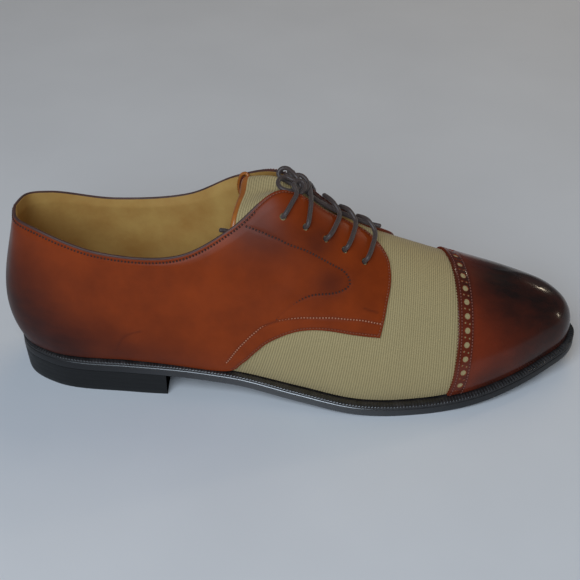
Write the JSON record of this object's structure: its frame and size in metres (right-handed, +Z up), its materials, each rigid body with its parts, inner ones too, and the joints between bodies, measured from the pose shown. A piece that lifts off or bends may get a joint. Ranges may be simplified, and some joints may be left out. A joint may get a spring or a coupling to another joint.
{
  "type": "spectator shoe",
  "caption": "Two-tone lace-up spectator shoe in ribbed tan canvas with glossy brown leather quarters and a punched toe cap, on a welted black leather sole with a low heel.",
  "frame": {"origin": "on the floor under the middle of the shoe's box", "axes": "+X points from heel to toe, -Y to the outer side of the foot, +Z up from the floor"},
  "size_m": [0.3133, 0.0968, 0.1192],
  "materials": {
    "canvas": "ribbed cotton cloth, dull",
    "leather_tan": "polished calf, reddish brown with darker burnish",
    "leather_cap": "polished calf, burnished nearly black at the tip",
    "leather_lining": "plain lining leather, yellowish tan, dull",
    "leather_binding": "folded leather, orange tan, satin",
    "sole_black": "stacked sole leather with black waxed edges",
    "lace_brown": "round waxed cotton lace, dark brown"
  },
  "bodies": {
    "root": {"upper": "canvas", "tongue": "canvas", "quarter_outer": "leather_tan", "quarter_inner": "leather_tan", "toe_cap": "leather_cap", "tongue_binding": "leather_binding", "insole": "leather_lining", "welt": "sole_black", "outsole": "sole_black", "heel": "sole_black", "lace_bar_1_outer": "lace_brown", "lace_bar_1_inner": "lace_brown", "lace_bar_2": "lace_brown", "lace_bar_3": "lace_brown", "lace_bar_4": "lace_brown", "lace_bar_5": "lace_brown", "lace_knot": "lace_brown", "lace_loop_small": "lace_brown", "lace_loop_flat": "lace_brown", "lace_end_tucked": "lace_brown", "lace_end_collar": "lace_brown"}
  },
  "joints": []
}
